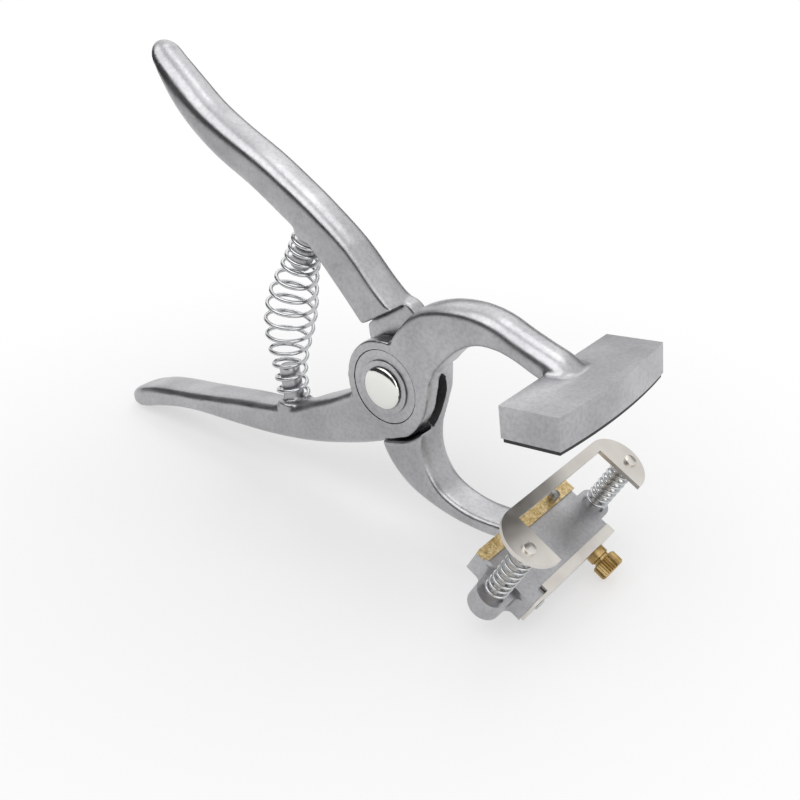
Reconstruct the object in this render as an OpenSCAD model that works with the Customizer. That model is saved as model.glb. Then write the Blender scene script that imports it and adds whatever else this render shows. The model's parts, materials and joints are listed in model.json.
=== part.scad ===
// Pliers for tattooing numbers in the ears of farm animals, in millimetres.
// Two cast levers cross on one rivet. The upper jaw carries a flat anvil with a rubber pad.
// The lower jaw carries a holder for pin digits, with a sprung release plate over them.
// Frame: X runs from the handles to the jaws, Y is the rivet's axis, Z is up.
// The origin is at the middle of the foot of the box that holds the released pliers.

/* [Levers] */
// Width of the two lapped levers at the rivet
lever_w = 13; // [12:0.25:15]
// Gap between the lapped halves
lap_gap = 0.3; // [0.2:0.05:0.6]
// Radius of each lever's boss round the rivet
boss_r = 15.7; // [14.5:0.1:16.5]
// Radius of the pocket that clears the other lever's boss
pocket_r = 22.3; // [21.5:0.1:23]
// Distance from the rivet to the shoulder of each handle
shoulder_d = 20.7; // [20:0.1:22]
// Angle between the levers when they are released
open_angle = 35.5; // [34:0.5:36.5]
// Lean of each handle's shoulder
shoulder_lean = 30; // [28:1:32]
// Reach of the lower handle from the rivet
lower_reach = 152; // [140:0.5:165]
// Reach of the upper handle from the rivet
upper_reach = 134; // [125:0.5:150]
// Length of the upper handle's rounded tip
tip_len = 8; // [5:0.5:12]
// Length of the lower handle's rounded tip
lower_tip_len = 13; // [8:0.5:15]
// Round on the inner corners of the jaws and of the upper handle
corner_round = 1.4; // [0.6:0.1:2]
// Round on the inner corners of the lower handle
palm_round = 2.6; // [1:0.1:3.4]
// How far the rounds spread over the inner faces, against their depth
palm_spread = 1.4; // [1:0.1:2.2]
// Depth of the relief along the throat between the lapped halves
throat_relief = 2.6; // [0.8:0.1:3.4]
// How far the relief runs below the rivet's level
throat_drop = 4; // [2:0.5:8]
// How far the relief runs above the rivet's level
throat_rise = 15.5; // [12:0.5:16]
// Radius of the relief about the rivet
throat_r = 20.8; // [20:0.1:21.5]
// Radius of the pocket in the lower jaw's root
root_r = 18.8; // [18.7:0.1:20]

/* [Rivet] */
// Radius of the rivet's shank
rivet_r = 4; // [3:0.1:5]
// Running clearance round the rivet
rivet_clear = 0.05; // [0.02:0.01:0.09]
// Radius of the rivet's polished heads
rivet_head_r = 7.1; // [6:0.1:8]
// Height of each rivet head
rivet_head_h = 1.8; // [1.2:0.1:2.5]
// Radius of the washers under the heads
washer_r = 9.1; // [8.5:0.1:11]
// Thickness of each washer
washer_t = 0.6; // [0.4:0.1:1]
// Radius of the flat that is cut round each washer
spot_r = 12.5; // [11.5:0.1:13.5]
// Depth of that flat
spot_depth = 0.25; // [0.1:0.05:0.5]

/* [Anvil] */
// Length of the anvil across the jaws
anvil_len = 56; // [50:0.5:60]
// Width of the anvil along the jaws
anvil_w = 17.7; // [16:0.1:19]
// Thickness of the anvil's metal
anvil_t = 9.3; // [8:0.1:11]
// Distance from the rivet to the anvil's inner side
anvil_x = 59.4; // [58:0.1:61]
// Height of the anvil's upper face over the rivet, with the jaws shut
anvil_top = 14.2; // [13.5:0.1:15.5]
// Bow of the anvil's outer side
anvil_bow = 2; // [0:0.1:3]
// Thickness of the rubber pad
pad_t = 1.3; // [0.8:0.1:2]
// Inset of the pad from the anvil's edges
pad_inset = 0.4; // [0.2:0.1:1]

/* [Digit holder] */
// Length of the holder block across the jaws
block_len = 46.2; // [44:0.2:48]
// Distance from the rivet to the block's inner side
block_x = 57.6; // [57:0.1:59]
// Width of the block along the jaws
block_w = 21.4; // [20.5:0.1:23]
// Thickness of the block
block_t = 8.75; // [8:0.05:10]
// Depth of the block's floor below the rivet's axis
floor_drop = 3.8; // [3.4:0.1:4.4]
// Distance from the block's inner side to the middle of the two spring bosses
post_in = 11.4; // [11:0.1:11.8]
// Distance of each spring boss's middle from the end of the block
post_out = 5.15; // [4.9:0.05:5.9]
// Radius of each spring boss
post_r = 5.2; // [4.8:0.1:5.6]
// Step from the floor down to the top of each spring boss
post_step = 1.9; // [1.5:0.1:2.5]
// Radius of the fillets between the block and its bosses
post_fillet = 2.4; // [2:0.1:3]

/* [Backing bar] */
// Width of the brass bar
bar_w = 4.2; // [3.8:0.1:5]
// Length of the brass bar
bar_len = 47; // [44:0.5:48]
// Height of the bar's top over the floor
bar_rise = 1.2; // [0.9:0.1:1.6]
// Depth of the undercut that holds the feet of the digits
lip_reach = 1.1; // [0.8:0.1:1.6]
// Height of that undercut
lip_h = 0.6; // [0.4:0.05:0.8]
// Depth that the bar is let into the block
bar_seat = 1; // [0.8:0.1:1.6]
// Radius of the steel end pin in the bar
bar_pin_r = 1.5; // [1.2:0.1:1.7]
// Height of the end pin over the bar
bar_pin_h = 3; // [2:0.1:4]
// Distance of the end pin from the middle plane
bar_pin_y = 12.8; // [10:0.1:16]
// Radius of the rivets that hold the bar
bar_rivet_r = 1.1; // [0.8:0.1:1.4]
// Spacing of the rivets that hold the bar
bar_rivet_gap = 30; // [28:0.5:36]

/* [Release plate] */
// Height of the plate's upper face over the block's floor, released
plate_rise = 20.5; // [19:0.1:22]
// Thickness of the plate
plate_t = 1.4; // [1:0.1:1.6]
// Width of the plate's strip
strip_w = 3.4; // [3:0.1:3.8]
// Width of each lobe from its straight inner edge to the guide pin
lobe_in = 5.75; // [5:0.05:6.2]
// Reach of the lobes from the strip's inner side
lobe_w = 19.3; // [18.5:0.1:20]
// Distance from the guide pins back to the strip's edge
plate_back = 11.6; // [11:0.1:12]
// Radius of the guide pins
guide_r = 1.25; // [1:0.05:1.5]
// Running clearance round the guide pins
guide_clear = 0.05; // [0.02:0.01:0.09]
// Radius of the guide pins' heads on the plate
guide_head_r = 2; // [1.8:0.1:2.5]
// Height of those heads
guide_head_h = 0.9; // [0.6:0.1:1.2]
// Radius of the clips on the pins' lower ends
clip_r = 2.1; // [1.8:0.1:2.4]
// Thickness of the clips
clip_t = 0.8; // [0.6:0.1:1]
// Depth of the counterbore that takes each clip
clip_bore = 2.4; // [2:0.1:3]
// Outer diameter of the plate springs
plate_spring_d = 7.5; // [7:0.1:8.5]
// Wire of the plate springs
plate_wire = 0.9; // [0.7:0.05:1]
// Turns of each plate spring
plate_turns = 8; // [6:1:9]

/* [Gate] */
// Thickness of the gate's sheet metal
gate_t = 0.9; // [0.7:0.05:1]
// Reach of the gate's flange over the floor
flange_w = 3.2; // [2.6:0.1:3.8]
// Reach of the gate past the near end of the block
gate_near_out = 0.6; // [0:0.1:1.5]
// Gap from the gate to the far end of the block
gate_far_in = 1; // [0.4:0.1:2]
// Height of the flange's top over the floor
flange_rise = 1.2; // [1.15:0.05:1.6]
// Depth of the gate below the floor
gate_drop = 7; // [6.6:0.1:7.6]
// Distance of the hinge rivet from the near end of the block
hinge_in = 3.6; // [3.2:0.1:4.6]
// Depth of the hinge rivet below the floor
hinge_drop = 1.7; // [1.6:0.1:2.4]
// Radius of the hinge rivet
hinge_r = 1.2; // [0.9:0.05:1.4]
// Running clearance round the hinge rivet
hinge_clear = 0.05; // [0.02:0.01:0.09]
// Radius of the hinge rivet's head
hinge_head_r = 2; // [1.8:0.1:2.4]
// Height of that head
hinge_head_h = 0.6; // [0.4:0.1:1]

/* [Thumb screw] */
// Distance of the thumb screw from the far end of the block
screw_in = 8.6; // [7.6:0.1:10]
// Depth of the screw's axis below the floor
screw_drop = 4.4; // [4.2:0.1:4.6]
// Radius of the screw's shank
screw_r = 1.7; // [1.4:0.1:1.9]
// Running clearance round the shank
screw_clear = 0.06; // [0.03:0.01:0.09]
// Radius of the screw's collar
collar_r = 3.3; // [3:0.1:3.8]
// Length of the collar
collar_len = 3.4; // [2.6:0.1:4.2]
// Radius of the knurled knob
knob_r = 4.35; // [4:0.05:4.8]
// Length of the knob
knob_len = 4.6; // [4:0.1:6]
// Number of ridges round the knob
knurls = 28; // [20:1:36]
// Depth of the grooves between the ridges
knurl_depth = 0.45; // [0.2:0.05:0.5]
// Length of the screw in the block
screw_grip = 9; // [6:0.5:11]

/* [Handle spring] */
// Distance of the spring's lower seat from the rivet
spring_seat_lower = 50.5; // [49:0.5:52]
// Distance of the spring's upper seat from the rivet
spring_seat_upper = 50; // [49:0.5:51]
// Wire of the handle spring
spring_wire = 1.4; // [1.2:0.05:1.6]
// Outer diameter of the spring at its ends
spring_end_d = 11.9; // [11.6:0.1:13]
// Outer diameter of the spring at its middle
spring_mid_d = 18.4; // [17:0.1:20]
// Turns of the handle spring
spring_turns = 13; // [10:1:14]
// Radius of the spigots that the spring slips over
spigot_r = 3.7; // [3:0.1:4]
// Length of the spigots over the handles' inner faces
spigot_len = 13; // [10:0.5:15]

/* [Hidden] */
$fn = 64;

cast = [0.66, 0.67, 0.68];
nickel = [0.72, 0.70, 0.66];
steel = [0.78, 0.78, 0.80];
brass = [0.76, 0.62, 0.32];
rubber = [0.08, 0.08, 0.09];

eps = 0.01;
half_w = lever_w / 2;
// The lofts stay a little inside the faces of the bosses
loft_w = half_w - 0.2;
seat_gap = 0.1;
cast_gap = 0.4;
clip_play = 0.15;
slot_play = 0.5;
flange_play = 1.6;
// Lengths of what is held inside the castings
hinge_grip = 6;
bar_rivet_root = 4;
bar_rivet_sink = 0.6;
seat_root = 3;
pin_end = 0.4;

// Sections of each lever, in its own frame, with the rivet at the origin.
// Each row is a section: inner point x and z, outer edge x and z, half width, crown.
// The lower handle belongs to the anvil lever. Its rows are shares of the handle's reach.
function handle_rows(reach, rows) = [for (r = rows) [-reach * r[0], r[1], -reach * r[0], r[2], r[3], r[4]]];
lower_handle = handle_rows(lower_reach, [
    [0.04, -1, -19, loft_w, 3], [0.1, -4, -21.5, loft_w, 3.2], [0.165, -8.4, -23.6, loft_w, 3.4],
    [0.23, -12, -25.4, loft_w, 3.5], [0.3, -16, -26.8, loft_w, 3.5], [0.39, -17.7, -27.8, loft_w, 3.4],
    [0.48, -18.4, -27.8, 6.7, 3.3], [0.57, -19.6, -27.2, 7.2, 3.3], [0.67, -20.8, -26.6, 7.7, 3.4],
    [0.76, -21.6, -27.2, 8, 3.6], [0.84, -22.6, -29, 8.1, 3.6], [0.905, -24.6, -31.2, 8, 3.5]]);
upper_handle = handle_rows(upper_reach, [
    [0.06, 8, 23.5, loft_w, 1.6], [0.14, 12.2, 25.5, loft_w, 1.8], [0.245, 16.4, 29.2, 6.1, 2.4],
    [0.36, 20.7, 30.6, 6.3, 2.9], [0.45, 21.6, 31, 6.5, 3.1], [0.56, 22.1, 30.8, 6.7, 3.5],
    [0.67, 21.4, 29.4, 6.9, 4.1], [0.77, 22.5, 29, 7, 4.6], [0.85, 25.2, 30, 7, 5.4],
    [0.905, 28.4, 31.4, 6.8, 5.2], [0.942, 31, 32.8, 6.4, 4.6]]);
upper_jaw = [
    [17.2, -1, 3, 13.5, loft_w, 0.8], [19, 5.5, 8.5, 19.8, loft_w, 1.2],
    [22.4, 9.6, 15, 24.6, loft_w, 1.8], [25.8, 12.8, 21.9, 26.5, loft_w, 2.4],
    [30.5, 16.2, 28.5, 26.9, loft_w, 3], [36.5, 18.4, 36.2, 26.1, loft_w, 3.5],
    [43, 18.1, 43.5, 23.6, loft_w, 4], [49, 16, 50, 19.6, loft_w, 4.4],
    [54.5, 13, 56, 16.4, loft_w, 4.6], [60, 10.5, 61.5, 14, loft_w, 4.4],
    [66, 8, 67, 12, loft_w, 2.4], [71, 7, 71.5, 10.5, 5, 0.6]];
lower_jaw = [
    [17.4, 1, 4, -13.5, loft_w, 1.6], [18.8, -4, 9.5, -19, loft_w, 2.4],
    [22.5, -10, 16.5, -22.2, loft_w, 3.2], [27, -14, 24.5, -23.4, loft_w, 3.5],
    [33, -16.4, 33, -22.2, loft_w, 3.5], [40, -15.9, 41, -19.8, loft_w, 3.5],
    [47, -13.5, 48, -16.6, loft_w, 3.5], [53.5, -9.5, 54, -13.6, loft_w, 3],
    [58.5, -6.5, 59, -11.2, loft_w, 1], [64, -6, 64, -10, 6, 0.4]];
// Outlines of the lapped halves between the handle and the jaw
near_half = [[-12, -8], [-4, 14], [4, 14.4], [9.5, 20.6], [16, 24.6], [19.8, 6], [17.7, 3.6],
    [16.6, -2.8], [15.4, -6.5], [13.4, -9.9], [10.6, -13.4], [7, -16.4], [0, -18.6], [-12, -21]];
far_half = [[-17, 6], [-18.4, 8.4], [-14, 24.5], [-8.3, 26], [-4.7, 25.2], [4, 21.8], [11.6, 17],
    [15.2, 9.7], [17.2, 2], [18.6, -4], [21, -9.5], [16, -22], [9, -19], [2, -13]];

loft_steps = 3;
crown_steps = 7;
tip_steps = 5;
tip_angle = 88;
tip_blunt = 0.12;

function spline_at(a, b, c, d, t) =
    (2 * b + (c - a) * t + (2 * a - 5 * b + 4 * c - d) * t * t + (3 * b - a - 3 * c + d) * t * t * t) / 2;
function spline(rows, steps) = let (last = len(rows) - 1)
    [for (k = [0 : last * steps]) let (i = min(floor(k / steps), last - 1), t = k / steps - i)
        spline_at(rows[max(i - 1, 0)], rows[i], rows[i + 1], rows[min(i + 2, last)], t)];
// One section: an inner face with rounded corners, flat sides and an elliptical crown
function section(thick, w, crown, r) = let (c = min(r, 0.45 * thick), b = min(palm_spread * r, 0.8 * w),
        corner = [for (a = [0, 38, 90]) [c * (1 - cos(a)), w - b + b * sin(a)]])
    concat(corner,
        [for (k = [0 : crown_steps]) let (a = 180 * k / crown_steps) [thick + crown * sin(a), w * cos(a)]],
        [for (k = [2 : -1 : 0]) [corner[k][0], -corner[k][1]]]);
function ring(s, r) = let (d = [s[2] - s[0], s[3] - s[1]], thick = norm(d), u = d / thick)
    [for (q = section(thick, s[4], s[5], r)) [s[0] + u[0] * q[0], q[1], s[1] + u[1] * q[0]]];
// The rounded tip shrinks the last section towards the middle of its thickness
function tip_rows(rows, tip) = let (e = rows[len(rows) - 1], b = rows[len(rows) - 2],
        mid = [(e[0] + e[2]) / 2, (e[1] + e[3]) / 2], away = mid - [(b[0] + b[2]) / 2, (b[1] + b[3]) / 2],
        run = away / norm(away))
    [for (k = [1 : tip_steps]) let (a = tip_angle * k / tip_steps, f = max(cos(a), tip_blunt),
            m = mid + run * tip * sin(a))
        [m[0] + (e[0] - mid[0]) * f, m[1] + (e[1] - mid[1]) * f,
            m[0] + (e[2] - mid[0]) * f, m[1] + (e[3] - mid[1]) * f, e[4] * f, e[5] * f]];

module skin(rings, turn) {
    n = len(rings[0]);
    last = len(rings) - 1;
    sides = [for (i = [0 : last - 1], j = [0 : n - 1]) let (k = (j + 1) % n)
        each [[i * n + j, (i + 1) * n + k, i * n + k], [i * n + j, (i + 1) * n + j, (i + 1) * n + k]]];
    caps = [[for (j = [0 : n - 1]) j], [for (j = [n - 1 : -1 : 0]) last * n + j]];
    faces = concat(sides, caps);
    polyhedron([for (r = rings) each r], turn ? [for (f = faces) [for (k = [len(f) - 1 : -1 : 0]) f[k]]] : faces);
}
module loft(rows, turn) skin([for (s = spline(rows, loft_steps)) ring(s, corner_round)], turn);
module handle(rows, turn, r, tip) {
    body = spline(rows, loft_steps);
    skin([for (s = concat(body, tip_rows(body, tip))) ring(s, r)], turn);
}

// Stance: the released pliers stand on the lower handle and on the thumb screw's knob
function in_lever(p, a) = [p[0] * cos(a) + p[1] * sin(a), p[1] * cos(a) - p[0] * sin(a)];
lower_body = spline(lower_handle, loft_steps);
handle_foot = [for (s = concat(lower_body, tip_rows(lower_body, lower_tip_len))) let (d = [s[2] - s[0], s[3] - s[1]])
    [s[2], s[3]] + s[5] * d / norm(d)];
gate_x = block_x + block_w + seat_gap;
collar_x = gate_x + gate_t + seat_gap;
knob_x = collar_x + collar_len;
floor_z = -floor_drop;
block_z = floor_z - block_t;
post_x = block_x + post_in;
post_y = block_len / 2 + post_out;
hinge_y = block_len / 2 - hinge_in;
screw_y = block_len / 2 - screw_in;
screw_z = floor_z - screw_drop;
hinge_z = floor_z - hinge_drop;
near_face = -half_w + spot_depth;
far_face = half_w - spot_depth;
knob_foot = in_lever([knob_x + knob_len, screw_z - knob_r], open_angle);
block_foot = in_lever([block_x + block_w, block_z], open_angle);
function lowest(points, a) = min([for (p = points) p[0] * sin(a) + p[1] * cos(a)]);
function find_tilt(lo, hi, n) = let (m = (lo + hi) / 2)
    n == 0 ? m
    : lowest(handle_foot, m) > lowest([knob_foot, block_foot], m) ? find_tilt(m, hi, n - 1)
    : find_tilt(lo, m, n - 1);
tilt = find_tilt(-10, 25, 30);
pivot_z = -lowest(handle_foot, tilt);
tip_row = tip_rows(lower_body, lower_tip_len)[tip_steps - 1];
back_x = in_lever([tip_row[0], (tip_row[1] + tip_row[3]) / 2], -tilt)[0];
front_x = max(in_lever([anvil_x + anvil_w, anvil_top - anvil_t], -tilt)[0],
    in_lever([knob_x + knob_len, screw_z + knob_r], open_angle - tilt)[0]);
pivot_x = -(back_x + front_x) / 2;
echo(stance = [tilt, pivot_x, pivot_z]);

module anvil_frame() translate([pivot_x, 0, pivot_z]) rotate([0, -tilt, 0]) children();
module holder_frame() translate([pivot_x, 0, pivot_z]) rotate([0, open_angle - tilt, 0]) children();
// A flat outline in X and Z, as thick as from y0 to y1
module plate_xz(y0, y1) translate([0, y1, 0]) rotate([90, 0, 0]) linear_extrude(y1 - y0) children();
module rod_y(r, y0, y1) translate([0, y0, 0]) rotate([-90, 0, 0]) cylinder(r = r, h = y1 - y0);
module rod_x(r, x0, x1) translate([x0, 0, 0]) rotate([0, 90, 0]) cylinder(r = r, h = x1 - x0);

// The pocket that frees one half of a lever for the other lever's lapped half, also when released
module pocket(side) {
    y0 = side > 0 ? -lap_gap / 2 : -lever_w;
    y1 = side > 0 ? lever_w : lap_gap / 2;
    plate_xz(y0, y1) {
        difference() {
            circle(r = side > 0 ? pocket_r : root_r, $fn = 96);
            rotate(180 + side * shoulder_lean) translate([shoulder_d, -2 * pocket_r])
                square(4 * pocket_r);
        }
        rotate(180 + side * shoulder_lean) translate([0, (side > 0 ? -0.6 : -2) * pocket_r])
            square([shoulder_d, 2.6 * pocket_r]);
        polygon([for (p = side > 0 ? far_half : near_half)
            in_lever(p * (1 + cast_gap / norm(p)), side * open_angle)]);
    }
}

// The handle spring's spigot and its flat round seat
module spigot(x, z, up) translate([x, 0, z]) rotate([up > 0 ? 0 : 180, 0, 0]) {
    translate([0, 0, -seat_root]) cylinder(r = seat_r, h = seat_root);
    translate([0, 0, -eps]) cylinder(r = spigot_r, h = spigot_len + eps);
}

anvil_low = anvil_top - anvil_t;
// The anvil's outline from above: its outer side is one shallow arc
module anvil_plan(inset) {
    half = anvil_len / 2 - inset;
    wide = anvil_w - 2 * inset;
    bow_r = (half * half + anvil_bow * anvil_bow) / (2 * max(anvil_bow, eps));
    translate([anvil_x + inset, 0]) union() {
        translate([0, -half]) square([wide, 2 * half]);
        intersection() {
            translate([0, -half]) square([wide + anvil_bow, 2 * half]);
            translate([wide + anvil_bow - bow_r, 0]) circle(r = bow_r, $fn = 360);
        }
    }
}

module anvil_lever() color(cast) anvil_frame() difference() {
    union() {
        difference() {
            union() {
                handle(lower_handle, false, palm_round, lower_tip_len);
                loft(upper_jaw, false);
            }
            pocket(1);
        }
        rod_y(boss_r, -half_w, -lap_gap / 2);
        plate_xz(-half_w + 0.1, -lap_gap / 2) polygon(near_half);
        translate([0, 0, anvil_low]) linear_extrude(anvil_t) anvil_plan(0);
        spigot(-spring_seat_lower, lower_seat_z, 1);
    }
    rod_y(rivet_r + rivet_clear, -lever_w, lever_w);
    rod_y(spot_r, -half_w - 1, -half_w + spot_depth);
}

module anvil_pad() color(rubber) anvil_frame()
    translate([0, 0, anvil_low - pad_t]) linear_extrude(pad_t) anvil_plan(pad_inset);

// The holder block from above, with the necks and fillets of the spring bosses
module block_plan() translate([block_x, -block_len / 2]) square([block_w, block_len]);
module post_plan() for (s = [-1, 1]) {
    translate([post_x, s * post_y]) circle(r = post_r);
    translate([post_x - post_r, s > 0 ? 0 : -post_y]) square([2 * post_r, post_y]);
    for (side = [-1, 1]) translate([post_x + side * post_r, s * block_len / 2]) scale([side, s])
        difference() {
            translate([-eps, -eps]) square(post_fillet + eps);
            translate([post_fillet, post_fillet]) circle(r = post_fillet);
        }
}
module block() translate([0, 0, block_z]) {
    linear_extrude(block_t) block_plan();
    linear_extrude(block_t - post_step) post_plan();
}

module holder_lever() color(cast) holder_frame() difference() {
    union() {
        difference() {
            union() {
                handle(upper_handle, true, corner_round, tip_len);
                loft(lower_jaw, true);
            }
            pocket(-1);
        }
        rod_y(boss_r, lap_gap / 2, half_w);
        plate_xz(lap_gap / 2, half_w - 0.1) polygon(far_half);
        block();
        spigot(-spring_seat_upper, upper_seat_z, -1);
    }
    rod_y(rivet_r, -lever_w, lever_w);
    rod_y(spot_r, half_w - spot_depth, half_w + 1);
    plate_xz(-lap_gap, throat_relief) difference() {
        intersection() {
            circle(r = throat_r);
            translate([0, -throat_drop]) square([throat_r, throat_drop + throat_rise]);
        }
        circle(r = boss_r + cast_gap);
    }
    bar_recess();
    for (s = [-1, 1]) {
        bar_rivet(s);
        translate([post_x, s * post_y, block_z - 1]) {
            cylinder(r = guide_r + guide_clear, h = block_t + 2);
            cylinder(r = clip_r + clip_play, h = clip_bore + 1);
        }
    }
    translate([0, screw_y, screw_z])
        rod_x(screw_r + screw_clear, block_x + block_w - screw_grip - slot_play, block_x + block_w + 1);
    translate([0, -hinge_y, hinge_z]) rod_x(hinge_r, block_x + block_w - hinge_grip, block_x + block_w + 1);
}

// The rivet: a shank and two slightly domed heads over the washers
module rivet_head() rotate_extrude() polygon([[0, 0], [rivet_head_r, 0], [rivet_head_r, 0.6 * rivet_head_h],
    [0.93 * rivet_head_r, 0.82 * rivet_head_h], [0.6 * rivet_head_r, 0.96 * rivet_head_h], [0, rivet_head_h]]);
module pivot_rivet() color(steel) holder_frame() {
    near = near_face - seat_gap - washer_t;
    far = far_face + washer_t;
    rod_y(rivet_r, near - eps, far + eps);
    translate([0, near, 0]) rotate([90, 0, 0]) rivet_head();
    translate([0, far, 0]) rotate([-90, 0, 0]) rivet_head();
}
module washer(y0) difference() {
    rod_y(washer_r, y0, y0 + washer_t);
    rod_y(rivet_r, y0 - 1, y0 + washer_t + 1);
}
module washer_near() color(cast) holder_frame() washer(near_face - seat_gap - washer_t);
module washer_far() color(cast) holder_frame() washer(far_face);

// The backing bar is let into the block, and its undercut lip holds the feet of the digits
bar_foot = bar_w - lip_reach;
bar_top = floor_z + bar_rise;
module bar_recess() translate([block_x - 1, -block_len, floor_z - bar_seat])
    cube([bar_foot + 1, 2 * block_len, bar_seat + 1]);
module bar_rivet(s)
    translate([block_x + bar_foot / 2, s * bar_rivet_gap / 2, floor_z - bar_seat - bar_rivet_root])
        cylinder(r = bar_rivet_r, h = bar_rivet_root + bar_seat + bar_rise - bar_rivet_sink);
// The end pin stands on the bar's middle, on a thinner root
module stepped_pin() translate([block_x + bar_w / 2, bar_pin_y, floor_z - bar_seat]) {
    cylinder(r = 0.7 * bar_pin_r, h = bar_seat + bar_rise);
    translate([0, 0, bar_seat + bar_rise]) cylinder(r = bar_pin_r, h = bar_pin_h);
}
module backing_bar() color(brass) holder_frame() difference() {
    translate([block_x, 0, floor_z]) plate_xz(-bar_len / 2, bar_len / 2)
        polygon([[0, -bar_seat], [bar_foot, -bar_seat], [bar_foot, lip_h], [bar_w, lip_h], [bar_w, bar_rise],
            [0, bar_rise]]);
    for (s = [-1, 1]) bar_rivet(s);
    stepped_pin();
}
module bar_pin() color(steel) holder_frame() stepped_pin();
module bar_rivets() color(steel) holder_frame() for (s = [-1, 1]) bar_rivet(s);

// The release plate: a strip along the inner side with a half-moon lobe over each spring
plate_z = floor_z + plate_rise;
plate_x = post_x - plate_back;
lobe_r = lobe_w / 2;
window_y = post_y - lobe_in;
// The lobes are a little more than half moons
lobe_shift = 0.6;
module release_plate() color(nickel) holder_frame() translate([0, 0, plate_z - plate_t])
    linear_extrude(plate_t) difference() {
        union() {
            translate([plate_x, -window_y - 1]) square([strip_w, 2 * window_y + 2]);
            for (s = [-1, 1]) intersection() {
                translate([plate_x + lobe_r, s * (window_y + lobe_shift)]) circle(r = lobe_r);
                translate([plate_x - 1, s > 0 ? window_y : -window_y - 2 * lobe_r])
                    square([2 * lobe_r + 2, 2 * lobe_r]);
            }
        }
        for (s = [-1, 1]) translate([post_x, s * post_y]) circle(r = guide_r);
    }
clip_z = block_z + clip_bore - seat_gap - clip_t;
pin_foot = clip_z - pin_end;
module guide_pin(s) color(steel) holder_frame() translate([post_x, s * post_y, 0]) {
    translate([0, 0, pin_foot]) cylinder(r = guide_r, h = plate_z - pin_foot + eps);
    translate([0, 0, plate_z]) rotate_extrude() polygon([[0, 0], [guide_head_r, 0],
        [guide_head_r, 0.3 * guide_head_h], [0.75 * guide_head_r, 0.8 * guide_head_h], [0, guide_head_h]]);
}
module guide_pin_near() guide_pin(-1);
module guide_pin_far() guide_pin(1);
module pin_clip(s) color(steel) holder_frame()
    translate([post_x, s * post_y, clip_z]) difference() {
        cylinder(r = clip_r, h = clip_t);
        translate([0, 0, -1]) cylinder(r = guide_r, h = clip_t + 2);
    }
module pin_clip_near() pin_clip(-1);
module pin_clip_far() pin_clip(1);

// A spring is one wire along a coil. Each row is a point of the wire and the coil's axis beside it.
curl_rings = 8;
wire_sides = 6;
function unit(v) = v / norm(v);
function straight_ends(rows, d) = let (n = len(rows), a = rows[0], b = rows[n - 1],
        back = unit(a[0] - rows[1][0]), on = unit(b[0] - rows[n - 2][0]))
    concat([[a[0] + d * back, a[1] + d * back]], rows, [[b[0] + d * on, b[1] + d * on]]);
function wire_ring(p, before, after, axis, d) = let (t = unit(after - before), out = p - axis,
        r = unit(out - (out * t) * t), b = cross(t, r))
    [for (k = [0 : wire_sides - 1]) let (a = 360 * k / wire_sides) p + d / 2 * (cos(a) * r + sin(a) * b)];
module wire_coil(rows, d) {
    w = straight_ends(rows, d);
    last = len(w) - 1;
    skin([for (i = [0 : last])
        wire_ring(w[i][0], w[max(i - 1, 0)][0], w[min(i + 1, last)][0], w[i][1], d)], false);
}
function least_gap(rows, d) = min([for (i = [0 : len(rows) - 1], j = [i + curl_rings / 2 : len(rows) - 1])
    norm(rows[j][0] - rows[i][0])]) - d;

plate_spring_foot = block_z + block_t - post_step + seat_gap + plate_wire / 2;
plate_spring_head = plate_z - plate_t - seat_gap - plate_wire / 2;
function plate_coil(s) = let (r = (plate_spring_d - plate_wire) / 2, n = plate_turns * curl_rings)
    [for (i = [0 : n]) let (a = 360 * i / curl_rings, z = plate_spring_foot + (plate_spring_head - plate_spring_foot) * i / n,
        c = [post_x, s * post_y, z]) [c + r * [cos(a), sin(a), 0], c]];
module plate_spring(s) color(steel) holder_frame() wire_coil(plate_coil(s), plate_wire);
module plate_spring_near() plate_spring(-1);
module plate_spring_far() plate_spring(1);
echo(plate_spring_gap = least_gap(plate_coil(1), plate_wire));

// The handle spring bows along a curve between the two handles' inner faces, in the anvil lever's frame
function face_table(rows) = let (s = spline(rows, loft_steps)) [for (i = [len(s) - 1 : -1 : 0]) [s[i][0], s[i][1]]];
seat_r = spring_end_d / 2 + 0.2;
function seat_levels(x, rows) = [for (s = [-1, 1]) lookup(x + s * seat_r, face_table(rows))];
lower_seat_z = max(seat_levels(-spring_seat_lower, lower_handle));
upper_seat_z = min(seat_levels(-spring_seat_upper, upper_handle));
seat_low = [-spring_seat_lower, lower_seat_z + cast_gap];
seat_up = in_lever([-spring_seat_upper, upper_seat_z - cast_gap], open_angle);
lean = in_lever([0, 1], open_angle);
spring_pull = 24;
bow_points = [seat_low, seat_low + [0, spring_pull], seat_up - spring_pull * lean, seat_up];
function bow(t) = let (u = 1 - t) u * u * u * bow_points[0] + 3 * u * u * t * bow_points[1]
    + 3 * u * t * t * bow_points[2] + t * t * t * bow_points[3];
function bow_way(t) = unit(bow(min(t + 0.01, 1)) - bow(max(t - 0.01, 0)));
// Share of the spring's length that each share of its turns has climbed: closer at both ends
climb = [[0, 0], [0.1, 0.08], [0.25, 0.24], [0.5, 0.55], [0.75, 0.83], [1, 1]];
function belly(t) = t < 0.08 || t > 0.95 ? 0 : pow(sin(180 * (t - 0.08) / 0.87), 2);
end_share = (spring_wire / 2) / norm(seat_up - seat_low);
function handle_coil() = let (n = spring_turns * curl_rings)
    [for (i = [0 : n]) let (t = end_share + (1 - 2 * end_share) * lookup(i / n, climb), c = bow(t), way = bow_way(t),
        r = (spring_end_d + (spring_mid_d - spring_end_d) * belly(t) - spring_wire) / 2, a = 360 * i / curl_rings,
        axis = [c[0], 0, c[1]]) [axis + r * [cos(a) * way[1], sin(a), -cos(a) * way[0]], axis]];
module handle_spring() color(steel) anvil_frame() wire_coil(handle_coil(), spring_wire);
echo(handle_spring_gap = least_gap(handle_coil(), spring_wire));

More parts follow.
